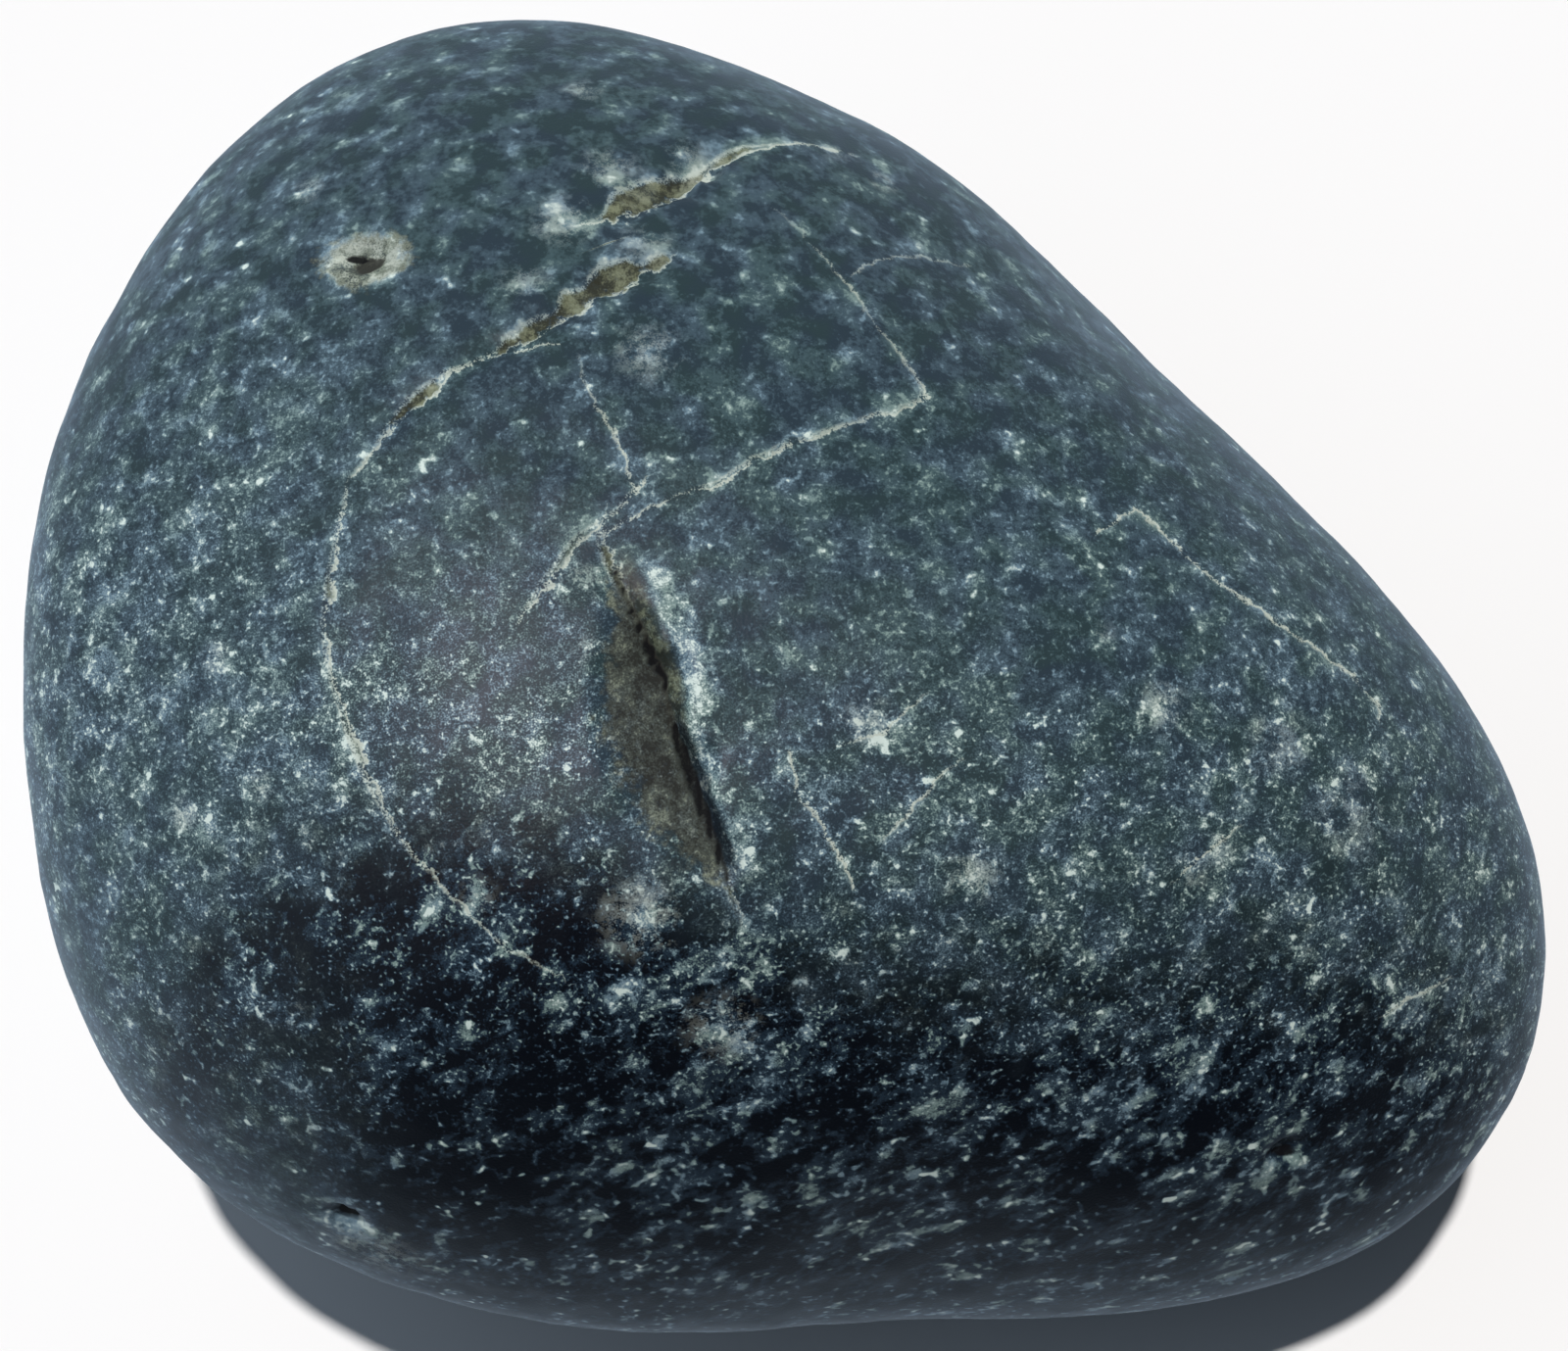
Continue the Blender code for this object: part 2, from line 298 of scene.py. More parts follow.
def gash_sink(places, ragged):
    """Depth of the gash: a facet where beside is positive, a wall where it isn't, and a crevice."""
    share, beside, swelling, crevice = gash_parts(places)
    facet, wall = gash_sides(share, beside, swelling, ragged)
    dish = GASH_DEPTH * swelling ** GASH_FADE * np.where(beside > 0.0, facet, wall ** WALL_CURVE)
    return dish + CREVICE_DEPTH * crevice * swelling


def crack_sink(places, ragged):
    """Depth of the open cracks: grooves with ragged widths that fade at both ends."""
    total = np.zeros(len(places))
    for route, half_width, depth in CRACKS:
        share, beside = beside_route(places, route)
        fade = np.sin(np.pi * np.clip(share, CRACK_ENDS, 1.0 - CRACK_ENDS)) ** CRACK_FADE
        total += depth * fade * np.exp(-(beside / (half_width * (1.0 + CRACK_RAGGEDNESS * ragged))) ** 2)
    return total


def pit_sink(points):
    """Depth of the pits: a round dish about each centre."""
    total = np.zeros(len(points))
    for centre, radius, depth in zip(form(PIT_BEARINGS, PIT_LEVELS), PIT_RADII, PIT_DEPTHS):
        total += depth * np.exp(-(np.linalg.norm(points - centre, axis=1) / radius) ** PIT_EDGE)
    return total


def swell(bearing, level):
    """Height of the low swells: a sum of sine waves across the unit directions."""
    directions = np.stack((np.cos(level) * np.cos(bearing), np.cos(level) * np.sin(bearing),
                           np.sin(level)), axis=-1)
    total = np.zeros(len(bearing))
    for axis, pitch, height, phase in SWELLS:
        total += height * np.sin(pitch * (directions @ np.array(axis)) + phase)
    return total


print("sunk: 1 gash,", len(CRACKS), "stretches of crack,", len(PIT_DEPTHS), "pits")

# %% The skin's points
# Each field of waves: their length, how many there are, and the seed.
RAGGED_WAVES = (1.6 * MM, 32, 5)
RAGGED_LIMIT = 1.5
WEAR_WAVES = ((5.0 * MM, 40, 11), (1.8 * MM, 40, 12))
WEAR_HEIGHTS = (0.022 * MM, 0.008 * MM)

ragged = np.clip(waves(smooth, *RAGGED_WAVES), -RAGGED_LIMIT, RAGGED_LIMIT)
wear = sum(height * waves(smooth, *kind) for height, kind in zip(WEAR_HEIGHTS, WEAR_WAVES))
places = smooth[:, :2]
sink = np.where(level > 0.0, gash_sink(places, ragged) + crack_sink(places, ragged), 0.0)
sink += pit_sink(smooth) - swell(bearing, level) + wear
towards_core = CORE - smooth
towards_core /= np.linalg.norm(towards_core, axis=1, keepdims=True)
points = smooth + towards_core * sink[:, None]
points[:, 2] = np.maximum(points[:, 2], FLAT_WEAR)
middle = (points.min(axis=0) + points.max(axis=0)) / 2
shift = np.array((middle[0], middle[1], FLAT_WEAR))
points -= shift
print("skin, mm:", np.round((points.max(axis=0) - points.min(axis=0)) / MM, 2))

# %% [markdown]
# ## The marks
#
# The material paints the veins, the gash's colours and the pale clots, but it needs to know where they
# are. So each vertex carries how far it lies beside a vein, and on which side. A distance changes
# evenly from vertex to vertex, so a line much thinner than a cell still comes out sharp. Most veins
# that meet are in different sets, because a vertex can hold only its nearest vein.

# %% The veins' routes
# Each vein: points in plan, how strongly its pale edge shows, and half width of its brown core, in mm.
MAIN_CRACK_RIGHT = (
    (3.4, 23.3, 0.3, 0.0), (2.3, 23.3, 0.6, 0.0), (0.4, 23.1, 0.7, 0.0), (-1.0, 22.7, 0.9, 0.05),
    (-1.9, 22.5, 1.0, 0.12), (-3.1, 22.0, 1.0, 0.13), (-3.9, 21.3, 1.0, 0.1), (-4.6, 20.7, 1.0, 0.2),
    (-5.5, 20.0, 1.0, 0.35), (-6.5, 19.4, 1.0, 0.6), (-7.2, 18.8, 1.0, 0.62), (-7.8, 18.1, 0.9, 0.35),
    (-8.4, 17.6, 0.8, 0.05), (-9.3, 17.3, 0.5, 0.02),
)
MAIN_CRACK_AND_ARC = (
    (-5.2, 15.9, 0.5, 0.0), (-5.5, 15.7, 0.8, 0.2), (-6.1, 15.4, 0.9, 0.22), (-6.5, 15.2, 0.9, 0.05),
    (-7.0, 15.0, 1.0, 0.42), (-7.8, 14.6, 1.0, 0.55), (-8.6, 14.0, 1.0, 0.38), (-9.0, 13.7, 1.0, 0.24),
    (-9.6, 13.3, 1.0, 0.42), (-10.2, 12.7, 1.0, 0.14), (-10.9, 12.2, 1.0, 0.34), (-11.3, 11.9, 1.0, 0.36),
    (-11.8, 11.5, 0.9, 0.12), (-12.4, 11.1, 0.9, 0.28), (-12.8, 10.8, 0.9, 0.06), (-13.8, 10.3, 1.0, 0.04),
    (-15.1, 9.6, 1.0, 0.04), (-15.7, 9.1, 0.9, 0.22), (-16.6, 8.2, 0.9, 0.28), (-17.4, 7.2, 0.8, 0.05),
    (-17.8, 6.3, 0.7, 0.02), (-19.0, 5.0, 0.6, 0.02), (-19.4, 2.8, 0.8, 0.05), (-19.7, 0.2, 0.9, 0.12),
    (-19.9, -1.9, 0.8, 0.06), (-19.4, -4.0, 0.9, 0.05), (-18.7, -5.9, 1.0, 0.11), (-17.9, -7.8, 1.0, 0.1),
    (-16.8, -9.7, 1.0, 0.05), (-15.5, -11.5, 0.8, 0.03), (-14.1, -13.0, 0.7, 0.0),
    (-12.2, -14.8, 0.5, 0.0), (-10.2, -16.0, 0.4, 0.0),
)
BACK_HAIRLINE = (
    (-9.1, 10.4, 0.2, 0.0), (-8.6, 8.8, 0.4, 0.0), (-7.5, 6.9, 0.6, 0.0), (-6.8, 5.1, 0.7, 0.0),
    (-6.4, 4.3, 0.6, 0.0),
)
LEFT_SPLIT = (
    (-6.0, 4.7, 0.7, 0.0), (-7.2, 3.4, 0.7, 0.04), (-8.9, 2.1, 0.7, 0.1), (-10.1, 0.4, 0.8, 0.1),
    (-11.3, -1.5, 1.0, 0.0),
)
RIGHT_ANGLE = (
    (-0.6, 18.9, 0.2, 0.0), (1.2, 16.8, 0.3, 0.0), (2.8, 14.7, 0.5, 0.0), (3.6, 13.2, 0.3, 0.0),
    (4.7, 11.7, 0.4, 0.0), (5.8, 10.1, 0.6, 0.02), (6.2, 9.1, 0.9, 0.06), (4.2, 8.2, 0.6, 0.02),
    (2.0, 7.3, 0.7, 0.03), (-0.1, 6.4, 0.8, 0.06), (-1.4, 5.7, 0.9, 0.05), (-2.6, 4.8, 1.0, 0.08),
    (-4.3, 4.1, 0.6, 0.02), (-6.0, 3.4, 0.7, 0.0), (-7.6, 2.3, 0.8, 0.03),
)
BRANCH = ((3.0, 15.3, 0.4, 0.0), (4.4, 16.6, 0.4, 0.0), (6.3, 17.3, 0.4, 0.0), (8.7, 17.3, 0.3, 0.0))
END_HAIRLINE = (
    (13.9, 3.2, 0.8, 0.0), (15.6, 4.4, 0.7, 0.0), (17.3, 2.9, 0.6, 0.0), (19.1, 1.3, 0.7, 0.0),
    (21.3, -0.1, 0.8, 0.0), (23.7, -1.5, 0.8, 0.0), (26.1, -2.9, 0.9, 0.03), (27.0, -3.9, 0.9, 0.04),
    (27.0, -4.6, 0.5, 0.0),
)
FRONT_HAIRLINE = (
    (0.1, -7.1, 0.7, 0.0), (0.5, -8.7, 0.6, 0.0), (1.6, -10.3, 0.8, 0.0), (2.4, -11.7, 1.0, 0.0),
    (2.8, -12.5, 0.8, 0.0),
)
CLEFT_TIP = (
    (-8.1, 2.6, 0.4, 0.0), (-7.8, 1.7, 0.8, 0.12), (-7.4, 0.7, 0.9, 0.14), (-7.0, -0.2, 0.6, 0.1),
    (-6.7, -0.9, 0.4, 0.05),
)
CLEFT_FOOT = (
    (-2.6, -12.0, 0.2, 0.08), (-2.3, -12.9, 0.5, 0.12), (-2.1, -13.5, 0.5, 0.06), (-1.9, -14.1, 0.3, 0.0),
)
NEEDLES = (
    ((4.1, -10.7, 0.3, 0.0), (5.6, -9.0, 0.7, 0.0), (6.7, -7.8, 0.5, 0.0), (7.6, -7.2, 0.3, 0.0)),
    ((2.1, -6.7, 0.3, 0.0), (4.0, -6.3, 0.6, 0.0), (5.4, -5.0, 0.5, 0.0), (6.0, -4.4, 0.2, 0.0)),
    ((16.6, -12.3, 0.3, 0.0), (17.6, -11.4, 0.8, 0.0), (18.8, -10.6, 0.8, 0.0), (20.0, -9.8, 0.3, 0.0)),
    ((27.2, -17.9, 0.3, 0.0), (28.8, -17.0, 0.8, 0.0), (31.0, -16.2, 0.4, 0.0)),
    ((-11.9, 10.9, 0.9, 0.0), (-9.9, 11.0, 0.7, 0.0)),
)
VEIN_SETS = {
    "veins_a": (MAIN_CRACK_RIGHT, MAIN_CRACK_AND_ARC, END_HAIRLINE, FRONT_HAIRLINE, LEFT_SPLIT),
    "veins_b": (RIGHT_ANGLE, CLEFT_TIP, CLEFT_FOOT),
    "veins_c": (BACK_HAIRLINE, BRANCH) + NEEDLES,
}
VEIN_REACH = 3.0 * MM
VEIN_TAPER = 0.4 * MM  # how far past its ends a vein fades out


def past_ends(places, route):
    """How far each place lies beyond the first or the last point of a route, along it."""
    ends = ((route[0], route[0] - route[1]), (route[-1], route[-1] - route[-2]))
    return np.max([(places - end) @ outward / np.linalg.norm(outward) for end, outward in ends], axis=0)


def vein_field(places, veins):
    """The nearest vein: millimetres beside it (signed, then not), its strength and half width."""
    field = np.zeros((len(places), 4))
    field[:, 1] = VEIN_REACH / MM
    for vein in veins:
        table = np.array(vein)
        route = table[:, :2] * MM
        share, beside = beside_route(places, route)
        runs = np.concatenate(((0.0,), np.cumsum(np.linalg.norm(np.diff(route, axis=0), axis=1))))
        strength = np.interp(share, runs / runs[-1], table[:, 2])
        ending = ((share <= 0.0) | (share >= 1.0)) * past_ends(places, route)
        strength *= np.clip(1.0 - ending / VEIN_TAPER, 0.0, 1.0)
        half_width = np.interp(share, runs / runs[-1], table[:, 3])
        gap = np.abs(beside) / MM
        closer = gap < field[:, 1]
        found = np.stack((beside / MM, gap, strength, half_width), axis=1)
        field = np.where(closer[:, None], found, field)
    return field


print("veins:", sum(len(veins) for veins in VEIN_SETS.values()))

# %% The spots' places
# Pale clots: plan place and radius in millimetres, then strength.
CLOTS = (
    (-6.3, -14.0, 1.3, 1.0), (3.4, -5.8, 0.8, 0.9), (16.2, -4.7, 0.9, 0.8), (-6.1, 10.6, 1.1, 0.8),
    (4.6, 21.7, 0.6, 1.0), (-9.4, 25.6, 0.8, 0.7), (-11.8, 14.2, 0.9, 0.6), (2.3, 23.5, 0.9, 0.6),
    (-2.7, -18.5, 1.3, 0.9), (7.8, -11.9, 1.0, 0.8), (-13.0, -12.9, 0.8, 0.6),
    (-26.7, -9.1, 0.6, 0.9), (-22.7, -8.1, 0.5, 0.9), (-25.1, -2.5, 0.6, 0.7),
    (-19.7, -28.7, 2.2, 0.8), (-8.3, -2.7, 0.6, 0.6), (-9.0, 0.2, 1.0, 0.5), (17.4, -11.7, 0.8, 0.6),
    (18.9, -10.5, 0.8, 0.5), (-22.1, 19.9, 0.7, 0.7),
    (-9.8, 17.6, 1.1, 0.9), (-4.6, 21.4, 1.1, 0.8), (-6.4, 16.2, 1.0, 0.7), (13.6, -1.6, 0.7, 0.5),
    (-8.0, 20.4, 1.2, 0.7), (21.8, -6.0, 1.6, 0.5), (25.5, -9.0, 2.0, 0.5),
)
# Where the crown turns down into the front face, which is painted darker as shade: plan points in
# millimetres, left to right.
SHOULDER_LINE = (
    (-34.0, -30.0), (-29.0, -19.0), (-25.5, -13.6), (-22.5, -11.0), (-18.8, -9.8), (-14.0, -8.7),
    (-10.0, -9.7), (-7.0, -11.2), (-4.1, -12.6), (4.1, -14.4), (12.5, -15.0), (20.0, -14.2),
    (27.0, -14.2), (34.0, -17.6),
)
# How many millimetres the turn takes, at places in x.
SHOULDER_ROUND = ((-26.0, -16.0, -8.0, 4.0), (4.2, 3.2, 2.8, 5.0))
# Rings of pale stone: place, half length and half width in millimetres, then strength.
RINGS_OF_STONE = ((-18.8, 15.7, 2.1, 1.5, 1.0), (19.1, -8.4, 1.6, 1.5, 0.45))
NO_RING = 3.0
NO_PIT = 9.0
NUDGE = 0.001  # radians, for measuring directions on the form


def clot_field(points, places):
    """Strongest of the clots at each point: 1 in the middle, falling to 0 at twice the radius."""
    field = np.zeros(len(points))
    for x, y, radius, strength in CLOTS:
        centre = points[np.argmin(np.linalg.norm(places - MM * np.array((x, y)), axis=1))]
        gap = np.linalg.norm(points - centre, axis=1) / (radius * MM)
        field = np.maximum(field, strength * np.clip(1.0 - gap / 2, 0.0, 1.0))
    return field


def ring_field(places):
    """Elliptical distance from the nearest ring's middle, 1 on its outer edge, and its strength."""
    field = np.full(len(places), NO_RING)
    strengths = np.zeros(len(places))
    for x, y, half_length, half_width, strength in RINGS_OF_STONE:
        offset = (places / MM - np.array((x, y))) / np.array((half_length, half_width))
        distance = np.linalg.norm(offset, axis=1)
        strengths = np.where(distance < field, strength, strengths)
        field = np.minimum(field, distance)
    return field, strengths


def pit_axes(centres):
    """At each pit, the directions rightwards and upwards on the stone's face."""
    east = form(PIT_BEARINGS + NUDGE, PIT_LEVELS) - centres
    north = form(PIT_BEARINGS, PIT_LEVELS + NUDGE) - centres
    outward = np.cross(east, north)
    upwards = np.cross(outward, (1.0, 0.0, 0.0))
    rightwards = np.cross(upwards, outward)
    return [axis / np.linalg.norm(axis, axis=1, keepdims=True) for axis in (rightwards, upwards)]


def pit_field(points):
    """The nearest pit: distance from its slit, distance from its middle, height over it, and crust."""
    field = np.tile((NO_PIT, NO_PIT, 0.0, 0.0), (len(points), 1))
    centres = form(PIT_BEARINGS, PIT_LEVELS)
    pits = zip(centres, *pit_axes(centres), SLITS, PIT_CRUSTS)
    for centre, rightwards, upwards, (half_length, half_height, right, up), crust in pits:
        offset = (points + shift - centre) / MM
        climb = offset @ upwards
        slit = np.hypot((offset @ rightwards - right) / half_length, (climb - up) / half_height)
        gap = np.linalg.norm(offset, axis=1)
        closer = gap < field[:, 1]
        found = np.stack((slit, gap, climb, np.full(len(points), crust)), axis=1)
        field = np.where(closer[:, None], found, field)
    return field


print("spots:", len(CLOTS), "clots,", len(RINGS_OF_STONE), "rings")

# %% The marks of every vertex
CROWN_FLOOR = -0.3  # radians, below which a vertex has no marks from above
FAR_AWAY = 1.0  # a plan place out of reach of every mark, in metres
GASH_REACH = 9.0
CREVICE_GAIN = 4.0
# Zones: the middle of each soft step and its width in millimetres, negative to turn the step round.
# The zones place painted light and shade: past the shoulder the front face is painted darker, and the left
# flank is painted lighter.
LEFT_FLANK = (-20.5, -3.0)
LEFT_BACK = (8.0, 4.0)
LEFT_EDGE = (-25.5, -1.8)
LEFT_EDGE_BACK = (4.0, 3.0)
LEFT_FRONT = (-10.5, 2.5)
BACK = (12.0, 4.0)
BACK_LOSS = 0.35  # how much of the left zone is lost towards the back and towards the edge
EDGE_LOSS = 0.6


def soft_step(value, middle, width):
    """1 / (1 + exp((middle - value) / width)): 0 well below the middle and 1 well above it."""
    return 1.0 / (1.0 + np.exp((middle - value) / width))


def zone_field(places):
    """How far past the shoulder a place is, then its share in the left, in the back, and forward."""
    x, y = places.T / MM
    past_shoulder = (np.interp(x, *np.array(SHOULDER_LINE).T) - y) / np.interp(x, *SHOULDER_ROUND)
    left = soft_step(x, *LEFT_FLANK) * (1.0 - BACK_LOSS * soft_step(y, *LEFT_BACK))
    left *= 1.0 - EDGE_LOSS * soft_step(x, *LEFT_EDGE) * soft_step(y, *LEFT_EDGE_BACK)
    left *= soft_step(y, *LEFT_FRONT)
    return np.stack((past_shoulder, left, soft_step(y, *BACK), -y), axis=1)


crown = level > CROWN_FLOOR
upper_places = np.where(crown[:, None], places, FAR_AWAY)
marks = {name: vein_field(upper_places, veins) for name, veins in VEIN_SETS.items()}
share, beside, swelling, crevice = gash_parts(upper_places)
facet, wall = gash_sides(share, beside, swelling, ragged)
marks["gash"] = np.stack((np.clip(beside / MM, -GASH_REACH, GASH_REACH), facet * swelling,
                          crevice * np.clip(swelling * CREVICE_GAIN, 0.0, 1.0), swelling * crown),
                         axis=1)
ring, ring_strength = ring_field(upper_places)
marks["spots"] = np.stack((clot_field(points, upper_places), ring, ring_strength, share), axis=1)
marks["pits"] = pit_field(points)
marks["zones"] = zone_field(places)
print("marks:", ", ".join(marks))


# %% The skin's mesh
def link_object(name, data):
    """A new object with this data, linked to the scene."""
    thing = bpy.data.objects.new(name, data)
    bpy.context.scene.collection.objects.link(thing)
    return thing


def make_skin(name, points, marks):
    """Mesh object of the skin, with its marks as vertex attributes."""
    quads, flat = grid_faces()
    corners = np.concatenate((quads.ravel(), flat))
    starts = np.concatenate((np.arange(len(quads)) * 4, (len(quads) * 4,)))
    mesh = bpy.data.meshes.new(name)
    mesh.vertices.add(len(points))
    mesh.vertices.foreach_set("co", points.ravel())
    mesh.loops.add(len(corners))
    mesh.loops.foreach_set("vertex_index", corners)
    mesh.polygons.add(len(starts))
    mesh.polygons.foreach_set("loop_start", starts)
    mesh.update(calc_edges=True)
    mesh.validate()
    for mark, values in marks.items():
        attribute = mesh.attributes.new(mark, "FLOAT_COLOR", "POINT")
        attribute.data.foreach_set("color", values.ravel())
    mesh.shade_smooth()
    return link_object(name, mesh)


jade = make_skin("jade_skin", points, marks)
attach(jade, "root")
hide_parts("cobble")
print("jade skin:", len(jade.data.polygons), "faces")

# %% [markdown]
# ## Shader maths
#
# A material is a graph of nodes, and writing one out link by link hides what it works out. Here one
# class wraps a socket. Its operators add Math nodes, so `1 - mask * 0.5` reads as it would on paper,
# and `add` makes every other kind of node.


# %% The graph builder
OBJECT_COORDINATES = 3  # outputs of Texture Coordinate and of Light Path, by their place
LOOK_DIRECTION = 0
CAMERA_RAY = 0
GLOSSY_RAY = 3
LACUNARITY = 2.13


class Signal:
    """One output socket of a node graph."""

    def __init__(self, graph, socket):
        self.graph = graph
        self.socket = socket

    def maths(self, operation, first, second):
        return self.graph.maths(operation, first, second)

    def __add__(self, other):
        return self.maths("ADD", self, other)

    def __radd__(self, other):
        return self.maths("ADD", other, self)

    def __sub__(self, other):
        return self.maths("SUBTRACT", self, other)

    def __rsub__(self, other):
        return self.maths("SUBTRACT", other, self)

    def __mul__(self, other):
        return self.maths("MULTIPLY", self, other)

    def __rmul__(self, other):
        return self.maths("MULTIPLY", other, self)

    def __abs__(self):
        return self.maths("ABSOLUTE", self, 0.0)


class Graph:
    """The node graph of a material or of the world."""

    def __init__(self, owner):
        owner.use_nodes = True
        self.tree = owner.node_tree

    def feed(self, socket, value):
        """Link a signal to a socket, or set the socket's own value."""
        if isinstance(value, Signal):
            self.tree.links.new(value.socket, socket)
        else:
            socket.default_value = value

    def add(self, kind, settings=None, inputs=None, output=0):
        """Any node: its type, its settings, its inputs' values or links, and which output is read."""
        node = self.tree.nodes.new(kind)
        for key, value in (settings or {}).items():
            setattr(node, key, value)
        for key, value in (inputs or {}).items():
            self.feed(node.inputs[key], value)
        return Signal(self, node.outputs[output])

    def shade(self, shader, inputs):
        """Set or link the sockets of the shader that the graph starts with."""
        for key, value in inputs.items():
            self.feed(self.tree.nodes[shader].inputs[key], value)

    def maths(self, operation, first, second):
        """Arithmetic on two numbers."""
        return self.add("ShaderNodeMath", {"operation": operation}, {0: first, 1: second})

    def highest(self, first, *others):
        """The greatest of several numbers."""
        for other in others:
            first = self.maths("MAXIMUM", first, other)
        return first

    def mix(self, factor, first, second):
        """Colour mixed from the first to the second by a factor."""
        inputs = {0: factor, 6: first, 7: second}
        return self.add("ShaderNodeMix", {"data_type": "RGBA"}, inputs, 2)

    def vector(self, operation, first, second, output=0):
        """Vector maths on two vectors."""
        inputs = {0: first, 1: second}
        return self.add("ShaderNodeVectorMath", {"operation": operation}, inputs, output)

    def ramp(self, value, low, high):
        """0 below low, 1 above high and a smooth step between; high below low turns it round."""
        inputs = {"Value": value, "From Min": low, "From Max": high}
        return self.add("ShaderNodeMapRange", {"interpolation_type": "SMOOTHSTEP"}, inputs)

    def noise(self, place, size, detail=2.0, roughness=0.5, output=0):
        """Cloudy noise whose lumps are about `size` metres across."""
        inputs = {"Vector": place, "Scale": 1.0 / size, "Detail": detail, "Roughness": roughness,
                  "Lacunarity": LACUNARITY}
        return self.add("ShaderNodeTexNoise", None, inputs, output)

    def parts(self, vector):
        """The three components of a vector."""
        node = self.tree.nodes.new("ShaderNodeSeparateXYZ")
        self.feed(node.inputs[0], vector)
        return [Signal(self, socket) for socket in node.outputs]

    def mark(self, name):
        """The four numbers of a vertex attribute."""
        colour = self.add("ShaderNodeAttribute", {"attribute_name": name})
        return self.parts(colour) + [Signal(self, colour.socket.node.outputs["Alpha"])]

    def dots(self, place, size, low, high):
        """Soft grains: the peaks of one plain noise, 0 where it is under low and 1 over high."""
        return self.ramp(self.noise(place, size, 0.0), low, high)


print("graph builder: Signal and Graph")

# %% [markdown]
# ## Nephrite
#
# Nephrite is felted tremolite and actinolite: a nearly black blue-green ground, full of pale grains
# from a twentieth of a millimetre up to clots of one or two. Worn stone scatters a little light at
# its surface, so where it faces the light it looks greyer. Here that grey is painted light in the
# crown's colour, and the front face, which turns away from the light, is painted darker as shade.
# The grains could be a speckled picture, but here they are the peaks of noises that fill the stone,
# so the surface cuts them like real ones. Four sizes lie over each other, and on the front they are
# stretched along the stone's grain. They add up to one number, which is turned into a colour only at
# the end.

# %% Nephrite's colours
DEEP_BLUE = (0.018, 0.031, 0.043, 1.0)
DEEP_GREEN = (0.018, 0.034, 0.038, 1.0)
MIDDLE_BLUE = (0.044, 0.072, 0.094, 1.0)
MIDDLE_GREEN = (0.043, 0.075, 0.084, 1.0)
# Painted shade: the next two are the dark tones of the front face, which turns away from the light; the
# first also darkens the gash's wall.
SHADE_INK = (0.0003, 0.0012, 0.0034, 1.0)
SHADE_DUSK = (0.012, 0.025, 0.041, 1.0)
PALE_BLUE = (0.13, 0.20, 0.25, 1.0)
PALE_GREEN = (0.16, 0.23, 0.22, 1.0)
BRIGHT = (0.56, 0.65, 0.61, 1.0)
CREAM = (0.38, 0.40, 0.33, 1.0)
ROSE = (0.34, 0.36, 0.32, 1.0)
OLIVE = (0.055, 0.060, 0.049, 1.0)
OLIVE_CREAM = (0.165, 0.180, 0.130, 1.0)
BROWN = (0.024, 0.023, 0.018, 1.0)
FILLING_DARK = (0.027, 0.026, 0.013, 1.0)
FILLING_PALE = (0.170, 0.178, 0.104, 1.0)
# Painted shadow: black for the crevice in the gash's foot and for the slits of the pits.
SHADOW_BLACK = (0.0015, 0.0015, 0.0020, 1.0)
JADE_IOR = 1.61
JADE_SHINE = 0.16
# Where the grain turns from deep to middle, from middle to pale and from pale to bright.
TONE_STEPS = ((0.0, 0.40), (0.38, 0.80), (0.76, 1.35))


def grain_colour(jade, grain, tones):
    """Four tones laid over each other, each where the grain is higher."""
    colour = tones[0]
    for step, tone in zip(TONE_STEPS, tones[1:]):
        colour = jade.mix(jade.ramp(grain, *step), colour, tone)
    return colour


print("nephrite's tones:", len(TONE_STEPS) + 1)

# %% The fields that every layer shares
HUE_SIZE = 2.0 * MM
DUST_SIZE = 0.08 * MM
STRAY_SIZE = 0.8 * MM
GRAIN_SIZE = 1.7 * MM
STREAK_SIZE = 2.4 * MM
GRAIN_DIRECTION = (0.72, 0.40, 0.56)  # along the front's streaks
SQUEEZE = -0.38  # how far places are drawn together along the streaks, which stretches them
CALM_SIDE = (-17.0 * MM, -29.0 * MM)  # where the front's painted shade and its streaks grow calm, at its left end
CALM_DEPTH = (0.4, 3.4)
FRONT_EDGE = (-0.9, 1.2)
# Painted sheen: where the sheen lamp's highlight falls on the crown, the colour gets a little lighter and
# has more glitter.
PAINTED_SHEEN_REACH = (12.0 * MM, 3.0 * MM)
PAINTED_SHEEN_STRETCH = np.array((1.0, 1.5, 0.0))  # the painted sheen patch is narrower from front to back
PAINTED_SHEEN_MIDDLE = (MM * np.array((-12.0, -4.0, 0.0)) - shift) * PAINTED_SHEEN_STRETCH  # its middle, stretched too
SOFT_FRONT = (17.0, 28.0)  # millimetres forward of the middle
LIVELY_EDGE = (-3.0, -1.2)


